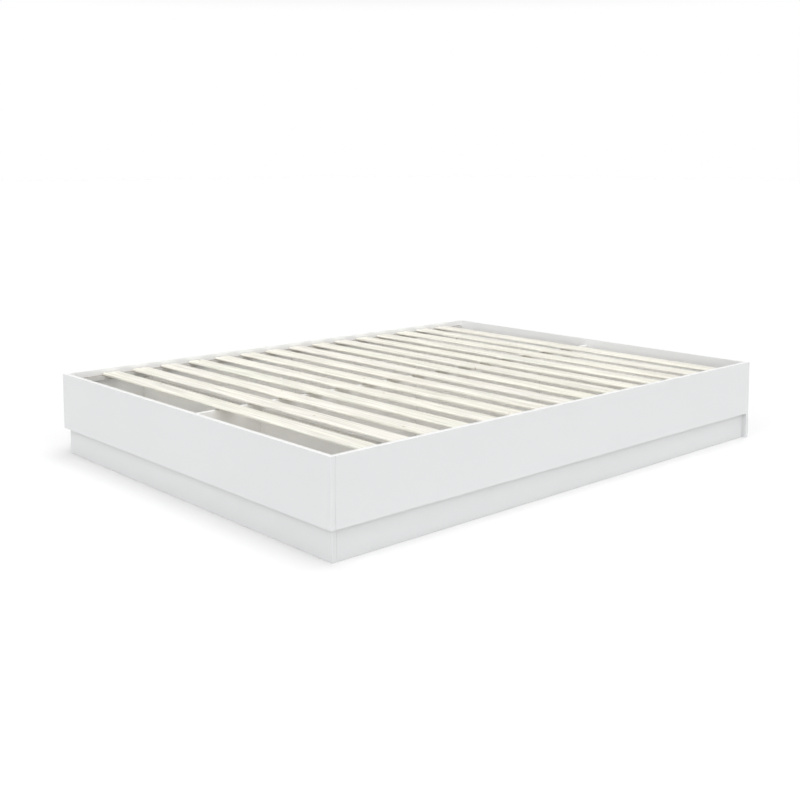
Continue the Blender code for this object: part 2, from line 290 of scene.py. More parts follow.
class BED_PG_deck(bpy.types.PropertyGroup):
    """The slats' sizes and wood."""

    length: length_property("Slat length", "Length of a slat", SLAT_SIZE.x)
    width: length_property("Slat width", "Width of a slat", SLAT_SIZE.y)
    thickness: length_property("Slat thickness", "Thickness of a slat", SLAT_SIZE.z)
    edge_round: length_property("Edge round", "Radius of a slat's long edges", 0.0025)
    crown: length_property("Crown", "How far the middle of a slat may rise", 0.0004)
    sway: length_property("Sway", "How far the middle of a slat may stray sideways", 0.0006)
    early_wood: colour_property("Early wood", "The wood's pale tone", (0.825, 0.808, 0.737))
    late_wood: colour_property("Late wood", "The tone of the growth lines", (0.735, 0.685, 0.570))
    knot: colour_property("Knots", "The tone of the small knots", (0.430, 0.310, 0.190))
    # Painted light: the slats' long edges are painted paler in place of the light that falls on them.
    painted_edge_light: float_property("Edge lift", "How much paler the planed edges are", 0.12, min=0)
    ring_step: length_property("Growth rings", "Distance between growth rings", 0.0034)


class BED_PG_fittings(bpy.types.PropertyGroup):
    """The metal and wooden fittings."""

    zinc: colour_property("Zinc", "Colour of the zinc plating", (0.66, 0.66, 0.64))
    beech: colour_property("Dowel wood", "Colour of the beech dowels", (0.62, 0.43, 0.26))
    recess_width: length_property("Recess width", "Width of a cross recess's arms", 0.0009)
    recess_depth: length_property("Recess depth", "Depth of a cross recess", 0.0016)


class BED_PG_studio(bpy.types.PropertyGroup):
    """The floor, the light and the camera."""

    floor: colour_property("Floor", "Colour of the floor", (0.845, 0.845, 0.845))
    horizon: float_property("Horizon", "Brightness of the white horizon", 1.0, min=0)
    walls: float_property("Walls", "Brightness of the walls above the horizon", 0.16, min=0)
    top: float_property("Top light", "Strength of the light above the head end", 1.75, min=0)
    foot: float_property("Foot light", "Strength of the light on the foot panel", 1.50, min=0)
    side: float_property("Side light", "Strength of the light on the right side", 1.31, min=0)
    lens: float_property("Lens", "The camera's focal length in millimetres", 50.030, min=1)


class NodeBench:
    """Adds nodes to one tree and joins them up."""

    def __init__(self, tree):
        self.tree = tree

    def add(self, kind, inputs=None, **options):
        """Add a node, and fill its inputs with links or with plain values."""
        node = self.tree.nodes.new(kind)
        for option, value in options.items():
            setattr(node, option, value)
        for socket, value in (inputs or {}).items():
            if isinstance(value, bpy.types.NodeSocket):
                self.tree.links.new(value, node.inputs[socket])
            else:
                node.inputs[socket].default_value = value
        return node

    def sum(self, first, second):
        """Add two numbers."""
        return self.number("ADD", first, second)

    def times(self, first, second):
        """Multiply two numbers."""
        return self.number("MULTIPLY", first, second)

    def number(self, operation, first, second=0.0):
        """Work out one number."""
        return self.add("ShaderNodeMath", {0: first, 1: second}, operation=operation).outputs[0]

    def vector(self, operation, first, second=(0, 0, 0)):
        """Work out one vector, or the number that a length or a dot product gives."""
        node = self.add("ShaderNodeVectorMath", {0: first, 1: second}, operation=operation)
        return node.outputs["Value" if operation in ("LENGTH", "DOT_PRODUCT") else "Vector"]

    def parts(self, vector):
        """Take a vector apart."""
        return self.add("ShaderNodeSeparateXYZ", {0: vector}).outputs

    def joined(self, x=0.0, y=0.0, z=0.0):
        """Put a vector together."""
        return self.add("ShaderNodeCombineXYZ", {0: x, 1: y, 2: z}).outputs[0]

    def spread(self, value, low, high, to_low=0.0, to_high=1.0, kind="LINEAR"):
        """Spread a number from one range to another, and hold it inside."""
        inputs = {0: value, 1: low, 2: high, 3: to_low, 4: to_high}
        return self.add("ShaderNodeMapRange", inputs, interpolation_type=kind).outputs[0]

    def noise(self, place, scale, detail=2.0, output="Fac"):
        """Smooth noise at a place, from 0 to 1."""
        inputs = {"Vector": place, "Scale": scale, "Detail": detail}
        return self.add("ShaderNodeTexNoise", inputs).outputs[output]

    def vary(self, noise, low, high):
        """Turn noise into a number between two values."""
        return self.spread(noise, *NOISE_RANGE, low, high)

    def random(self, low, high, number, seed):
        """A random number between two values, the same each time for the same number and seed."""
        inputs = {2: low, 3: high, "ID": number, "Seed": seed}
        return self.add("FunctionNodeRandomValue", inputs).outputs[1]

    def blend(self, share, first, second, mode="MIX"):
        """Blend two colours."""
        inputs = {0: share, 6: first, 7: second}
        node = self.add("ShaderNodeMix", inputs, data_type="RGBA", blend_type=mode)
        return node.outputs[2]

    def shade(self, colour, strength):
        """Make a colour lighter or darker by a factor."""
        grey = self.joined(strength, strength, strength)
        return self.blend(1.0, colour, grey, "MULTIPLY")

    def place(self):
        """The point on the surface, in the object's own coordinates."""
        return self.add("ShaderNodeTexCoord").outputs["Object"]

    def facing(self):
        """Which way the surface faces."""
        return self.add("ShaderNodeNewGeometry").outputs["True Normal"]

    def attribute(self, name, output):
        """An attribute of the mesh."""
        return self.add("ShaderNodeAttribute", attribute_name=name).outputs[output]


def opaque(colour):
    """A colour with full opacity."""
    return (*colour, 1)


def new_material(name):
    """Make an empty material, and return it with a bench for its nodes and its shader."""
    material = bpy.data.materials.new(name)
    material.use_nodes = True
    return material, NodeBench(material.node_tree), material.node_tree.nodes["Principled BSDF"]


def finish(bench, shader, colour, roughness, height, depth):
    """Wire a colour, a roughness and a relief of some depth to the shader."""
    bump = bench.add("ShaderNodeBump", {"Height": height, "Distance": depth})
    for source, socket in ((colour, "Base Color"), (roughness, "Roughness"), (bump.outputs[0], "Normal")):
        bench.tree.links.new(source, shader.inputs[socket])


def new_tree(name, kind, inputs, outputs):
    """Make a node group with named inputs and outputs."""
    tree = bpy.data.node_groups.new(name, kind)
    for direction, sockets in (("INPUT", inputs), ("OUTPUT", outputs)):
        for label, socket in sockets.items():
            tree.interface.new_socket(label, in_out=direction, socket_type=f"NodeSocket{socket}")
    return tree, NodeBench(tree)


def laminate_group():
    """Laminate on a board, its edge bands, and its raw core where an edge has no band, with painted light on
    its tops and inner faces.
    """
    inputs = {
        "Low Corner": "Vector",
        "High Corner": "Vector",
        "Thickness Axis": "Vector",
        "Outer Side": "Float",
        "Raw Top": "Float",
        "Toe Top": "Float",
        "Laminate": "Color",
        "Inside": "Color",
        "Painted Light": "Color",
        "Band": "Color",
        "Light Chips": "Color",
        "Dark Chips": "Color",
        "Edge Band": "Float",
        "Matt": "Float",
    }
    outputs = {"Colour": "Color", "Roughness": "Float", "Height": "Float"}
    tree, bench = new_tree("Laminated board", "ShaderNodeTree", inputs, outputs)
    given = bench.add("NodeGroupInput").outputs
    place = bench.place()
    facing = bench.facing()

    # How far the point is from the nearest edge of the board's broad face
    from_low = bench.vector("SUBTRACT", place, given["Low Corner"])
    from_high = bench.vector("SUBTRACT", given["High Corner"], place)
    nearest = bench.vector("MINIMUM", from_low, from_high)
    nearest = bench.parts(bench.vector("ADD", nearest, given["Thickness Axis"]))
    to_edge = bench.number("MINIMUM", bench.number("MINIMUM", nearest[0], nearest[1]), nearest[2])
    across = bench.vector("DOT_PRODUCT", facing, given["Thickness Axis"])
    broad = bench.number("GREATER_THAN", bench.number("ABSOLUTE", across), SQUARE_ON)
    outer = bench.number("GREATER_THAN", bench.times(across, given["Outer Side"]), SQUARE_ON)
    inner = bench.number("SUBTRACT", broad, outer)

    # The glue line between the laminate and the edge band
    from_line = bench.number("ABSOLUTE", bench.number("SUBTRACT", to_edge, given["Edge Band"]))
    glue_line = bench.spread(from_line, GLUE_LINE_HALF, GLUE_LINE_FADED, GLUE_LINE_SHADE, 0.0)
    glue_line = bench.times(glue_line, broad)

    # Soft clouds and a fine pearl in the laminate
    clouds = bench.vary(bench.noise(place, LAMINATE_CLOUDS), 0.992, 1.004)
    speckle = bench.vary(bench.noise(place, LAMINATE_SPECKLE), 0.990, 1.006)
    tone = bench.times(bench.times(clouds, speckle), bench.number("SUBTRACT", 1.0, glue_line))

    # Painted light: the inner faces take painted tones in place of light bounced off the slats, blending
    # from the tone under the slats to the tone near them between two depths, and every upward face takes the
    # band colour as a painted highlight.
    up = bench.parts(facing)[2]
    height = bench.parts(place)[2]
    painted_light_tone = bench.blend(bench.spread(height, *PAINTED_LIGHT_FADE), given["Inside"], given["Painted Light"])
    within = bench.times(inner, bench.number("GREATER_THAN", height, given["Toe Top"]))
    white = bench.blend(within, given["Laminate"], painted_light_tone)
    # Painted highlight: every upward face takes the band colour, paler than the outer faces.
    white = bench.blend(bench.number("GREATER_THAN", up, 0.5), white, given["Band"])
    white = bench.shade(white, tone)

    # Pressed chips on the raw edges
    chip = bench.add("ShaderNodeTexVoronoi", {"Vector": place, "Scale": CORE_CHIPS}).outputs["Color"]
    chip = bench.parts(chip)[0]
    fibres = bench.noise(place, CORE_FIBRES)
    grain = bench.sum(bench.times(chip, CHIP_SHARE), bench.times(fibres, FIBRE_SHARE))
    core = bench.blend(grain, given["Dark Chips"], given["Light Chips"])
    underside = bench.number("LESS_THAN", up, -SQUARE_ON)
    raw_top = bench.times(bench.number("GREATER_THAN", up, SQUARE_ON), given["Raw Top"])
    raw = bench.number("MAXIMUM", underside, raw_top)

    colour = bench.blend(raw, white, core)
    sheen = bench.sum(given["Matt"], bench.vary(bench.noise(place, LAMINATE_SHEEN), -0.03, 0.03))
    roughness = bench.number("MAXIMUM", sheen, bench.times(raw, CORE_ROUGHNESS))
    pearl = bench.noise(place, LAMINATE_PEARL, 3.0)
    height = bench.sum(pearl, bench.times(bench.times(grain, raw), CORE_RELIEF))
    height = bench.number("SUBTRACT", height, bench.times(glue_line, GLUE_LINE_RELIEF))
    bench.add("NodeGroupOutput", {"Colour": colour, "Roughness": roughness, "Height": height})
    return tree


def laminate_material(board, group, across, outer_side, raw_top, settings):
    """The laminate of one board, which knows where that board's edges are."""
    # Painted shade: the ledgers take a darker tone in place of the shade they lie in.
    inner = settings.ledger if raw_top else settings.inside
    material, bench, shader = new_material(f"laminate_{board}")
    low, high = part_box(board)
    inputs = {
        "Low Corner": low,
        "High Corner": high,
        "Thickness Axis": across,
        "Outer Side": outer_side,
        "Raw Top": raw_top,
        "Toe Top": TOE_TOP.get(board, 0.0),
        # Painted light: the inner faces, and the boards inside the bed, take paler and warmer tones in place
        # of light bounced off the slats.
        "Laminate": opaque(settings.laminate if outer_side else inner),
        "Inside": opaque(inner),
        "Painted Light": opaque(settings.painted_light_tone if outer_side else inner),
        # The band colour, which every upward face takes, is a painted highlight.
        "Band": opaque(settings.painted_light_tone),
        "Light Chips": opaque(settings.core_light),
        "Dark Chips": opaque(settings.core_dark),
        "Edge Band": settings.edge_band,
        "Matt": settings.roughness,
    }
    board_finish = bench.add("ShaderNodeGroup", node_tree=group)
    for socket, value in inputs.items():
        board_finish.inputs[socket].default_value = value
    made = board_finish.outputs
    finish(bench, shader, made["Colour"], made["Roughness"], made["Height"], settings.pearl)
    return material


def slat_material(settings):
    """Pale softwood, sawn a little way from the heart of the log, with a different cut in each slat."""
    material, bench, shader = new_material("pale_slat_wood_grain")
    point = bench.attribute("slat_point", "Vector")
    number = bench.attribute("slat_number", "Fac")
    along = bench.vector("ADD", point, bench.joined(bench.times(number, 3.17)))

    # Growth rings round a heart that wanders along the slat
    luck = bench.add("ShaderNodeTexWhiteNoise", {"W": number}, noise_dimensions="1D").outputs["Color"]
    heart = bench.vector("MULTIPLY", bench.vector("SUBTRACT", luck, (0.5, 0.5, 0.2)), (0, 0.11, -0.05))
    wander = bench.noise(bench.vector("MULTIPLY", along, SLAT_WANDER), 1.0, 2.0, "Color")
    wander = bench.vector("MULTIPLY", bench.vector("SUBTRACT", wander, (0.5, 0.5, 0.5)), (0, 0.05, 0.02))
    from_heart = bench.vector("ADD", bench.vector("SUBTRACT", point, heart), wander)
    radius = bench.vector("LENGTH", bench.vector("MULTIPLY", from_heart, (0, 1, 1)))
    ripple = bench.noise(bench.vector("MULTIPLY", along, SLAT_RIPPLE), 1.0)
    ring = bench.number("DIVIDE", radius, settings.ring_step)
    ring = bench.sum(ring, bench.times(ripple, RIPPLE_PUSH))

    # Small knots, which push the rings aside
    cells = bench.add(
        "ShaderNodeTexVoronoi",
        {"Vector": bench.vector("MULTIPLY", along, SLAT_KNOT_CELLS), "Scale": 1.0},
        voronoi_dimensions="2D",
    ).outputs
    chosen = bench.number("GREATER_THAN", bench.parts(cells["Color"])[0], KNOT_THRESHOLD)
    knot = bench.times(bench.spread(cells["Distance"], *KNOT_FADE, 1.0, 0.0), chosen)
    halo = bench.times(bench.spread(cells["Distance"], *HALO_FADE, 1.0, 0.0), chosen)
    ring = bench.sum(ring, bench.times(halo, HALO_PUSH))
    phase = bench.number("FRACT", ring)
    rise = bench.spread(phase, *LATE_WOOD_SPAN, 0.0, 1.0, "SMOOTHSTEP")
    late = bench.times(rise, bench.spread(phase, LATE_WOOD_SPAN[1], 1.0, 1.0, 0.0))

    # Fibres, streaks and patches
    fibre = bench.noise(bench.vector("MULTIPLY", along, SLAT_FIBRES), 1.0, 3.0)
    streak = bench.noise(bench.vector("MULTIPLY", along, SLAT_STREAKS), 1.0, 2.0)
    patch = bench.noise(bench.vector("MULTIPLY", along, SLAT_PATCHES), 1.0, 2.0, "Color")

    late_share = bench.times(late, LATE_WOOD_STRENGTH)
    colour = bench.blend(late_share, opaque(settings.early_wood), opaque(settings.late_wood))
    colour = bench.blend(bench.times(knot, KNOT_STRENGTH), colour, opaque(settings.knot))
    tint = bench.vector("ADD", bench.vector("MULTIPLY", patch, (0.045, 0.030, 0.065)), (0.978, 0.984, 0.968))
    colour = bench.blend(1.0, colour, tint, "MULTIPLY")
    own = bench.vector("ADD", bench.vector("MULTIPLY", luck, (0.012, 0.008, 0.02)), (0.99, 0.992, 0.985))
    colour = bench.blend(1.0, colour, own, "MULTIPLY")
    shade = bench.times(bench.vary(fibre, 0.955, 1.02), bench.spread(streak, 0.32, 0.68, 0.82, 1.10))

    # Painted light: the long edges are painted a little paler, in place of the light that falls on them. The
    # ends are darker, and the underside darker and warmer.
    facing = bench.parts(bench.facing())
    end = bench.number("GREATER_THAN", bench.number("ABSOLUTE", facing[0]), SQUARE_ON)
    edge = bench.spread(bench.number("ABSOLUTE", facing[1]), 0.5, SQUARE_ON)
    shade = bench.times(shade, bench.sum(1.0, bench.times(edge, settings.painted_edge_light)))
    shade = bench.times(shade, bench.spread(end, 0.0, 1.0, 1.0, 0.8))
    colour = bench.shade(colour, shade)
    under = bench.spread(facing[2], -1.0, -0.97, 1.0, 0.0)
    colour = bench.blend(under, colour, bench.blend(1.0, colour, (1.0, 0.93, 0.80, 1), "MULTIPLY"))

    shader.inputs["Specular IOR Level"].default_value = 0.25
    roughness = bench.vary(fibre, 0.60, 0.74)
    height = bench.sum(fibre, bench.times(late, -0.5))
    finish(bench, shader, colour, roughness, height, SLAT_RELIEF_DEPTH)
    return material


def zinc_material(settings):
    """Zinc plated steel: a faint spangle, and a finely uneven sheen."""
    material, bench, shader = new_material("zinc_plating")
    shader.inputs["Metallic"].default_value = 1.0
    place = bench.place()
    cells = bench.add("ShaderNodeTexVoronoi", {"Vector": place, "Scale": ZINC_SPANGLE}).outputs["Color"]
    spangle = bench.spread(bench.parts(cells)[0], 0.0, 1.0, 0.93, 1.03)
    stain = bench.vary(bench.noise(place, ZINC_STAIN), 0.94, 1.02)
    colour = bench.shade(opaque(settings.zinc), bench.times(spangle, stain))
    roughness = bench.vary(bench.noise(place, ZINC_SHEEN, 3.0), 0.27, 0.42)
    finish(bench, shader, colour, roughness, bench.noise(place, ZINC_RELIEF), ZINC_RELIEF_DEPTH)
    return material


def dowel_material(settings):
    """Beech: short dark rays in a plain brown wood whose grain runs along the dowel."""
    material, bench, shader = new_material("beech_dowel_grain")
    place = bench.place()
    grain = bench.noise(bench.vector("MULTIPLY", place, DOWEL_GRAIN), 1.0, 3.0)
    rays = bench.noise(bench.vector("MULTIPLY", place, DOWEL_RAYS), 1.0)
    shade = bench.times(bench.vary(grain, 0.86, 1.05), bench.spread(rays, 0.62, 0.7, 1.0, 0.78))
    colour = bench.shade(opaque(settings.beech), shade)
    finish(bench, shader, colour, bench.vary(grain, 0.55, 0.72), grain, DOWEL_RELIEF_DEPTH)
    return material


def floor_material(settings):
    """A pale matt floor."""
    material, bench, shader = new_material("studio_floor")
    place = bench.place()
    shade = bench.vary(bench.noise(place, FLOOR_CLOUDS), 0.995, 1.0)
    colour = bench.shade(opaque(settings.floor), shade)
    roughness = bench.vary(bench.noise(place, FLOOR_SHEEN), 0.8, 0.9)
    finish(bench, shader, colour, roughness, shade, FLOOR_RELIEF_DEPTH)
    return material


def studio_world(settings):
    """A white horizon, and dimmer walls above it."""
    world = bpy.data.worlds.new("studio_surround")
    world.use_nodes = True
    bench = NodeBench(world.node_tree)
    height = bench.parts(bench.add("ShaderNodeTexCoord").outputs["Generated"])[2]
    strength = bench.spread(height, *HORIZON_FADE, settings.horizon, settings.walls, "SMOOTHSTEP")
    background = world.node_tree.nodes["Background"]
    world.node_tree.links.new(strength, background.inputs["Strength"])
    background.inputs["Color"].default_value = (1, 1, 1, 1)
    return world


def slat_tree():
    """Geometry Nodes for one slat: a rounded board with a slight crown and a screw hole at each end."""
    inputs = {
        "Length": "Float",
        "Width": "Float",
        "Thickness": "Float",
        "Edge Round": "Float",
        "Crown": "Float",
        "Sway": "Float",
        "Screw Inset": "Float",
        "Bore Radius": "Float",
        "Sink Radius": "Float",
        "Sink Depth": "Float",
        "Middle": "Vector",
        "Slat Number": "Int",
        "Wood": "Material",
    }
    tree, bench = new_tree("Slat", "GeometryNodeTree", inputs, {"Geometry": "Geometry"})
    given = bench.add("NodeGroupInput").outputs

    # A filleted rectangle along a straight line
    half = bench.times(given["Length"], 0.5)
    line = bench.add(
        "GeometryNodeCurvePrimitiveLine",
        {"Start": bench.joined(bench.times(half, -1.0)), "End": bench.joined(half)},
    )
    line = bench.add("GeometryNodeSetCurveNormal", {"Curve": line.outputs[0]}, mode="Z_UP")
    line = bench.add("GeometryNodeResampleCurve", {"Curve": line.outputs[0], "Count": SLAT_STATIONS})
    outline = bench.add(
        "GeometryNodeCurvePrimitiveQuadrilateral", {"Width": given["Width"], "Height": given["Thickness"]}
    )
    outline = bench.add(
        "GeometryNodeFilletCurve",
        {
            "Curve": outline.outputs[0],
            "Radius": given["Edge Round"],
            "Count": SLAT_ROUND_POINTS,
            "Limit Radius": True,
        },
        mode="POLY",
    )
    board = bench.add(
        "GeometryNodeCurveToMesh",
        {"Curve": line.outputs[0], "Profile Curve": outline.outputs[0], "Fill Caps": True},
    )

    # The board bends a little upwards and sideways between its ends.
    x = bench.parts(bench.add("GeometryNodeInputPosition").outputs[0])[0]
    share = bench.number("DIVIDE", x, half)
    bend = bench.number("SUBTRACT", 1.0, bench.times(share, share))
    lift = bench.random(LEAST_CROWN_SHARE, 1.0, given["Slat Number"], CROWN_SEED)
    drift = bench.random(-1.0, 1.0, given["Slat Number"], SWAY_SEED)
    offset = bench.joined(
        0.0,
        bench.times(bench.times(bend, drift), given["Sway"]),
        bench.times(bench.times(bend, lift), given["Crown"]),
    )
    board = bench.add("GeometryNodeSetPosition", {"Geometry": board.outputs[0], "Offset": offset})

    # A countersunk hole at each end
    half_depth = bench.times(given["Thickness"], 0.5)
    cutters = bench.add("GeometryNodeJoinGeometry")
    for side in (-1.0, 1.0):
        hole_x = bench.times(bench.number("SUBTRACT", half, given["Screw Inset"]), side)
        bore = bench.add(
            "GeometryNodeMeshCylinder",
            {
                "Vertices": BORE_SIDES,
                "Radius": given["Bore Radius"],
                "Depth": bench.times(given["Thickness"], 2.0),
            },
        )
        sink = bench.add(
            "GeometryNodeMeshCone",
            {
                "Vertices": BORE_SIDES,
                "Radius Top": given["Sink Radius"],
                "Radius Bottom": bench.times(given["Bore Radius"], 0.5),
                "Depth": given["Sink Depth"],
            },
        )
        sink_z = bench.sum(bench.number("SUBTRACT", half_depth, given["Sink Depth"]), SINK_OVERRUN)
        moves = ((bore, bench.joined(hole_x)), (sink, bench.joined(hole_x, 0.0, sink_z)))
        for cutter, place in moves:
            moved = bench.add(
                "GeometryNodeTransform", {"Geometry": cutter.outputs["Mesh"], "Translation": place}
            )
            tree.links.new(moved.outputs[0], cutters.inputs[0])
    board = bench.add(
        "GeometryNodeMeshBoolean",
        {"Mesh 1": board.outputs[0], "Mesh 2": cutters.outputs[0]},
        operation="DIFFERENCE",
        solver="EXACT",
    )
    board.inputs["Self Intersection"].default_value = True

    # Each point keeps its place on the slat and the slat's number, for the grain.
    board = bench.add(
        "GeometryNodeStoreNamedAttribute",
        {
            "Geometry": board.outputs["Mesh"],
            "Name": "slat_point",
            "Value": bench.add("GeometryNodeInputPosition").outputs[0],
        },
        data_type="FLOAT_VECTOR",
    )
    board = bench.add(
        "GeometryNodeStoreNamedAttribute",
        {"Geometry": board.outputs[0], "Name": "slat_number", "Value": given["Slat Number"]},
        data_type="FLOAT",
    )
    board = smooth_below(bench, board.outputs[0], SLAT_SHARP_ANGLE)
    board = bench.add("GeometryNodeTransform", {"Geometry": board, "Translation": given["Middle"]})
    finish_tree(bench, board.outputs[0], given["Wood"])
    return tree


def smooth_below(bench, geometry, degrees):
    """Shade smooth, but keep every edge sharp that turns by more than an angle."""
    smooth = bench.add("GeometryNodeSetShadeSmooth", {0: geometry}, domain="FACE")
    angle = bench.add("GeometryNodeInputMeshEdgeAngle").outputs["Unsigned Angle"]
    sharp = bench.add(
        "FunctionNodeCompare",
        {0: angle, 1: math.radians(degrees)},
        data_type="FLOAT",
        operation="GREATER_THAN",
    )
    inputs = {0: smooth.outputs[0], 1: sharp.outputs[0], "Shade Smooth": False}
    return bench.add("GeometryNodeSetShadeSmooth", inputs, domain="EDGE").outputs[0]


def finish_tree(bench, geometry, material):
    """End a Geometry Nodes tree: real geometry with its material."""
    real = bench.add("GeometryNodeRealizeInstances", {0: geometry}).outputs[0]
    painted = bench.add("GeometryNodeSetMaterial", {"Geometry": real, "Material": material})
    bench.add("NodeGroupOutput", {0: painted.outputs[0]})


def screw_tree():
    """Geometry Nodes for a row of screws: one on each point, with a cross recess turned at random."""
    inputs = {
        "Points": "Geometry",
        "Seat Radius": "Float",
        "Rim Radius": "Float",
        "Rim Height": "Float",
        "Crown Radius": "Float",
        "Crown Height": "Float",
        "Shank Radius": "Float",
        "Shank Length": "Float",
        "Recess Width": "Float",
        "Recess Depth": "Float",
        "Aim": "Vector",
        "Seed": "Int",
        "Metal": "Material",
    }
    tree, bench = new_tree("Screw row", "GeometryNodeTree", inputs, {"Geometry": "Geometry"})
    given = bench.add("NodeGroupInput").outputs

    def cone(low_radius, high_radius, height, base_z, sides=HEAD_SIDES):
        """A cone or a cylinder on the screw's axis, from some height up."""
        made = bench.add(
            "GeometryNodeMeshCone",
            {"Vertices": sides, "Radius Top": high_radius, "Radius Bottom": low_radius, "Depth": height},
        )
        return bench.add(
            "GeometryNodeTransform",
            {"Geometry": made.outputs["Mesh"], "Translation": bench.joined(0.0, 0.0, base_z)},
        ).outputs[0]

    # The head in two steps, over a shank that narrows to its point
    rim = cone(given["Seat Radius"], given["Rim Radius"], given["Rim Height"], 0.0)
    crown_base = bench.number("SUBTRACT", given["Rim Height"], CONE_OVERLAP)
    crown_height = bench.sum(given["Crown Height"], CONE_OVERLAP)
    crown = cone(given["Rim Radius"], given["Crown Radius"], crown_height, crown_base)
    point = bench.times(given["Shank Radius"], POINT_RADIUS_SHARE)
    shank_base = bench.times(given["Shank Length"], -1.0)
    tip_height = bench.times(given["Shank Radius"], TIP_HEIGHT_SHARE)
    tip = cone(point, given["Shank Radius"], tip_height, shank_base, SHANK_SIDES)
    body_base = bench.sum(shank_base, tip_height)
    body_height = bench.number("SUBTRACT", bench.sum(given["Shank Length"], CONE_OVERLAP), tip_height)
    body = cone(given["Shank Radius"], given["Shank Radius"], body_height, body_base, SHANK_SIDES)
    solids = bench.add("GeometryNodeMeshBoolean", operation="UNION", solver="EXACT")
    for solid in (rim, crown, tip, body):
        tree.links.new(solid, solids.inputs["Mesh 2"])

    # The cross recess: two crossed arms
    top = bench.sum(given["Rim Height"], given["Crown Height"])
    arm_length = bench.times(given["Rim Radius"], RECESS_ARM_SHARE)
    recess = bench.add("GeometryNodeJoinGeometry")
    for size in ((arm_length, given["Recess Width"]), (given["Recess Width"], arm_length)):
        arm = bench.add(
            "GeometryNodeMeshCube", {"Size": bench.joined(*size, bench.times(given["Recess Depth"], 2.0))}
        )
        moved = bench.add(
            "GeometryNodeTransform",
            {"Geometry": arm.outputs["Mesh"], "Translation": bench.joined(0.0, 0.0, top)},
        )
        tree.links.new(moved.outputs[0], recess.inputs[0])
    screw = bench.add(
        "GeometryNodeMeshBoolean",
        {"Mesh 1": solids.outputs["Mesh"], "Mesh 2": recess.outputs[0], "Self Intersection": True},
        operation="DIFFERENCE",
        solver="EXACT",
    )
    screw = smooth_below(bench, screw.outputs["Mesh"], SCREW_SHARP_ANGLE)

    aimed = bench.add("FunctionNodeAlignRotationToVector", {"Vector": given["Aim"]}, axis="Z")
    turn = bench.add("FunctionNodeRandomValue", {2: 0.0, 3: math.pi, "Seed": given["Seed"]}).outputs[1]
    turn = bench.add("FunctionNodeAxisAngleToRotation", {"Axis": (0, 0, 1), "Angle": turn})
    turned = bench.add(
        "FunctionNodeRotateRotation",
        {"Rotation": aimed.outputs[0], "Rotate By": turn.outputs[0]},
        rotation_space="LOCAL",
    )
    row = bench.add(
        "GeometryNodeInstanceOnPoints",
        {"Points": given["Points"], "Instance": screw, "Rotation": turned.outputs[0]},
    )
    finish_tree(bench, row.outputs[0], given["Metal"])
    return tree


def grown(name, tree, values, points=((0, 0, 0),)):
    """Run a Geometry Nodes tree on some points, and keep what it makes as a plain mesh object."""
    seeds = bpy.data.meshes.new(name)
    seeds.from_pydata([tuple(point) for point in points], [], [])
    maker = bpy.data.objects.new(name, seeds)
    bpy.context.scene.collection.objects.link(maker)
    nodes = maker.modifiers.new("Nodes", "NODES")
    nodes.node_group = tree
    for item in tree.interface.items_tree:
        if item.in_out == "INPUT" and item.name in values:
            nodes[item.identifier] = values[item.name]
    graph = bpy.context.evaluated_depsgraph_get()
    mesh = bpy.data.meshes.new_from_object(
        maker.evaluated_get(graph), preserve_all_data_layers=True, depsgraph=graph
    )
    bpy.data.objects.remove(maker, do_unlink=True)
    bpy.data.meshes.remove(seeds)
    if not mesh.polygons:
        raise RuntimeError(f"{name} came out empty")
    mesh.name = name
    piece = bpy.data.objects.new(name, mesh)
    bpy.context.scene.collection.objects.link(piece)
    return piece


def keep_piece(piece, slot, *nodes):
    """Hang a piece on the bed, and let it stand for some CAD nodes; its slot is not used."""
    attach(piece, "root")
    if nodes:
        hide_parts(*nodes)


def dress(node, material):
    """Give a CAD node its material."""
    for slot in frame["nodes"][node].material_slots:
        slot.material = material


class BED_OT_finish_boards(bpy.types.Operator):
    """Give every laminated board its finish"""

    bl_idname = "platform_bed.finish_boards"
    bl_label = "Finish the boards"

    def execute(self, context):
        settings = context.scene.bed_boards
        group = laminate_group()
        for boards, raw_top in ((BANDED_BOARDS, 0), (RAW_TOPPED_BOARDS, 1)):
            for board, (across, outer_side) in boards.items():
                dress(board, laminate_material(board, group, across, outer_side, raw_top, settings))
        return {"FINISHED"}


class BED_OT_lay_slats(bpy.types.Operator):
    """Make the slats, each with its own grain"""

    bl_idname = "platform_bed.lay_slats"
    bl_label = "Lay the slats"

    def execute(self, context):
        settings = context.scene.bed_deck
        wood = slat_material(settings)
        tree = slat_tree()
        for number, node in enumerate(SLAT_NODES, 1):
            low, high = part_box(node)
            middle = (low + high) / 2
            middle.z = low.z + settings.thickness / 2
            values = {
                "Length": settings.length,
                "Width": settings.width,
                "Thickness": settings.thickness,
                "Edge Round": settings.edge_round,
                "Crown": settings.crown,
                "Sway": settings.sway,
                "Screw Inset": SLAT_SCREW_INSET,
                "Bore Radius": SLAT_BORE_RADIUS,
                "Sink Radius": SLAT_SCREW_RADIUS + SINK_SIDE_ROOM,
                "Sink Depth": SLAT_SCREW_SINK + SINK_DEPTH_ROOM,
                "Middle": tuple(middle),
                "Slat Number": number,
                "Wood": wood,
            }
            keep_piece(grown(f"slat_board_{number:02d}", tree, values), SLAT_SLOT, node)
        return {"FINISHED"}


def seat_of(node, aim):
    """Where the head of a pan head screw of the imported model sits."""
    low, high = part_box(node)
    reach = abs((high - low).dot(aim)) / 2
    return (low + high) / 2 + aim * (reach - PAN_HEAD_HEIGHT)


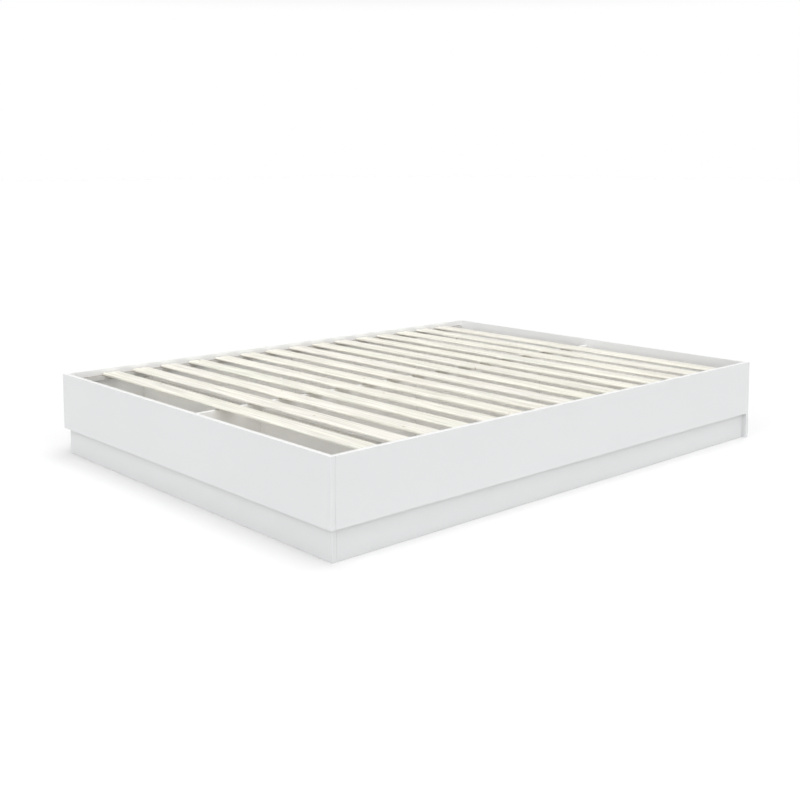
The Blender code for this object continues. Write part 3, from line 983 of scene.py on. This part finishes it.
def pan_screw(settings, metal, aim, seed, length):
    """The inputs for a row of pan head screws."""
    return {
        "Seat Radius": PAN_HEAD_RADIUS,
        "Rim Radius": PAN_HEAD_RADIUS,
        "Rim Height": PAN_HEAD_HEIGHT * PAN_RIM_SHARE,
        "Crown Radius": PAN_HEAD_RADIUS * PAN_RIM_SHARE,
        "Crown Height": PAN_HEAD_HEIGHT * (1 - PAN_RIM_SHARE),
        "Shank Radius": SHANK_RADIUS,
        "Shank Length": length,
        "Recess Width": settings.recess_width,
        "Recess Depth": settings.recess_depth,
        "Aim": tuple(aim),
        "Seed": seed,
        "Metal": metal,
    }


def drive_packed_screws(settings, metal, tree):
    """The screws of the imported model, in one row for each board and side."""
    rows = [("foot_plinth_screw", TO_HEAD, "foot_plinth_screws")]
    for word, aim in INWARD.items():
        rows.append((f"side_plinth_screw_{word}", aim, f"side_plinth_screws_{word}"))
        rows.append((f"ledger_screw_{word}", aim, f"ledger_screws_{word}"))
    for seed, (start, aim, name) in enumerate(rows):
        nodes = sorted(node for node in frame["nodes"] if node.startswith(start))
        places = [seat_of(node, aim) for node in nodes]
        values = pan_screw(settings, metal, aim, seed, SCREW_LENGTH)
        keep_piece(grown(name, tree, values, places), STEEL_SLOT, *nodes)


def drive_angle_screws(settings, metal, tree):
    """Four screws in each angle, two through each leg."""
    for seed, (word, aim) in enumerate(INWARD.items(), ANGLE_SCREW_SEED):
        low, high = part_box(f"corner_angle_{word}")
        size = high - low
        corner_x = low.x if word == "left" else high.x
        side_x = corner_x + aim.x * ANGLE_THICKNESS
        foot_y = low.y + ANGLE_THICKNESS
        z = (low.z + high.z) / 2
        side_places = [(side_x, low.y + size.y * share, z) for share in ANGLE_SCREW_SHARES]
        foot_places = [(corner_x + aim.x * size.x * share, foot_y, z) for share in ANGLE_SCREW_SHARES]
        for leg, leg_aim, places in (("side", aim, side_places), ("foot", TO_HEAD, foot_places)):
            values = pan_screw(settings, metal, leg_aim, seed, ANGLE_SCREW_LENGTH)
            keep_piece(grown(f"angle_screws_{word}_{leg}", tree, values, places), STEEL_SLOT)


def drive_slat_screws(settings, metal, tree):
    """A countersunk screw at each end of each slat."""
    for seed, word in enumerate(INWARD, SLAT_SCREW_SEED):
        places = []
        for node in SLAT_NODES:
            low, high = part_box(node)
            x = low.x + SLAT_SCREW_INSET if word == "left" else high.x - SLAT_SCREW_INSET
            places.append((x, (low.y + high.y) / 2, high.z - SLAT_SCREW_SINK))
        values = pan_screw(settings, metal, UP, seed, SLAT_SCREW_LENGTH)
        values["Seat Radius"] = SLAT_SHANK_RADIUS
        values["Rim Radius"] = SLAT_SCREW_RADIUS
        values["Rim Height"] = SLAT_SCREW_SINK - SLAT_SCREW_CROWN
        values["Crown Radius"] = SLAT_SCREW_RADIUS * SLAT_SCREW_CROWN_SHARE
        values["Crown Height"] = SLAT_SCREW_CROWN
        values["Shank Radius"] = SLAT_SHANK_RADIUS
        keep_piece(grown(f"slat_screws_{word}", tree, values, places), STEEL_SLOT)


class BED_OT_drive_screws(bpy.types.Operator):
    """Make the screws of the plinth, the ledgers, the angles and the slats"""

    bl_idname = "platform_bed.drive_screws"
    bl_label = "Drive the screws"

    def execute(self, context):
        settings = context.scene.bed_fittings
        metal = zinc_material(settings)
        tree = screw_tree()
        drive_packed_screws(settings, metal, tree)
        drive_angle_screws(settings, metal, tree)
        drive_slat_screws(settings, metal, tree)
        return {"FINISHED"}


class BED_OT_finish_fittings(bpy.types.Operator):
    """Give the cam locks, bolts, angles and dowels their finish"""

    bl_idname = "platform_bed.finish_fittings"
    bl_label = "Finish the fittings"

    def execute(self, context):
        settings = context.scene.bed_fittings
        metal = zinc_material(settings)
        beech = dowel_material(settings)
        for node in frame["nodes"]:
            if node.startswith("dowel_"):
                dress(node, beech)
            elif node.startswith(("cam_", "corner_angle_")):
                dress(node, metal)
        return {"FINISHED"}


class BED_OT_set_studio(bpy.types.Operator):
    """Set up the floor, the light and the camera"""

    bl_idname = "platform_bed.set_studio"
    bl_label = "Set the studio"

    def execute(self, context):
        scene = context.scene
        settings = scene.bed_studio
        mesh = bpy.data.meshes.new("studio_floor")
        corners = [(x * FLOOR_REACH, y * FLOOR_REACH, 0) for x, y in ((-1, -1), (1, -1), (1, 1), (-1, 1))]
        mesh.from_pydata(corners, [], [(0, 1, 2, 3)])
        mesh.materials.append(floor_material(settings))
        floor = bpy.data.objects.new("studio_floor", mesh)
        scene.collection.objects.link(floor)

        scene.world = studio_world(settings)

        lamps = (
            ("studio_top", settings.top, TOP_LAMP),
            ("studio_foot", settings.foot, FOOT_LAMP),
            ("studio_side", settings.side, SIDE_LAMP),
        )
        for name, strength, (rise, turn, width) in lamps:
            sun = bpy.data.lights.new(name, "SUN")
            sun.energy = strength
            sun.angle = math.radians(width)
            lamp = bpy.data.objects.new(name, sun)
            lamp.rotation_euler = (math.radians(90 - rise), 0, math.radians(turn))
            scene.collection.objects.link(lamp)

        lens = bpy.data.cameras.new("studio_camera")
        lens.lens = settings.lens
        lens.sensor_width = CAMERA_SENSOR
        lens.shift_x, lens.shift_y = CAMERA_SHIFT
        lens.clip_end = CAMERA_FAR_END
        camera = bpy.data.objects.new("studio_camera", lens)
        camera.location = CAMERA_PLACE
        camera.rotation_euler = (math.pi / 2 - CAMERA_TILT, 0, CAMERA_YAW)
        scene.collection.objects.link(camera)
        scene.camera = camera
        scene.view_settings.view_transform = "Standard"
        return {"FINISHED"}


class BED_PT_sidebar(bpy.types.Panel):
    """The bed's sizes, colours and steps"""

    bl_idname = "BED_PT_sidebar"
    bl_label = "Platform bed"
    bl_space_type = "VIEW_3D"
    bl_region_type = "UI"
    bl_category = "Platform bed"

    def draw(self, context):
        for title, group, steps in SIDEBAR:
            box = self.layout.box()
            box.label(text=title)
            settings = getattr(context.scene, group)
            for name in settings.bl_rna.properties.keys():
                if name not in ("rna_type", "name"):
                    box.prop(settings, name)
            for step in steps:
                box.operator(step.bl_idname)


SETTINGS = {
    "bed_boards": BED_PG_boards,
    "bed_deck": BED_PG_deck,
    "bed_fittings": BED_PG_fittings,
    "bed_studio": BED_PG_studio,
}
STEPS = (
    BED_OT_finish_boards,
    BED_OT_lay_slats,
    BED_OT_drive_screws,
    BED_OT_finish_fittings,
    BED_OT_set_studio,
)
SIDEBAR = (
    ("Boards", "bed_boards", (BED_OT_finish_boards,)),
    ("Deck", "bed_deck", (BED_OT_lay_slats,)),
    ("Fittings", "bed_fittings", (BED_OT_drive_screws, BED_OT_finish_fittings)),
    ("Studio", "bed_studio", (BED_OT_set_studio,)),
)


def register():
    """Make the settings, the steps and the panel known to Blender."""
    for made in (*SETTINGS.values(), *STEPS, BED_PT_sidebar):
        bpy.utils.register_class(made)
    for name, group in SETTINGS.items():
        setattr(bpy.types.Scene, name, bpy.props.PointerProperty(type=group))


def unregister():
    """Take everything away again that register added."""
    for name in SETTINGS:
        delattr(bpy.types.Scene, name)
    for made in reversed((*SETTINGS.values(), *STEPS, BED_PT_sidebar)):
        bpy.utils.unregister_class(made)


def main():
    """Dress the bed."""
    register()
    bpy.ops.platform_bed.set_studio()
    bpy.ops.platform_bed.finish_boards()
    bpy.ops.platform_bed.lay_slats()
    bpy.ops.platform_bed.drive_screws()
    bpy.ops.platform_bed.finish_fittings()


if __name__ == "__main__":
    main()
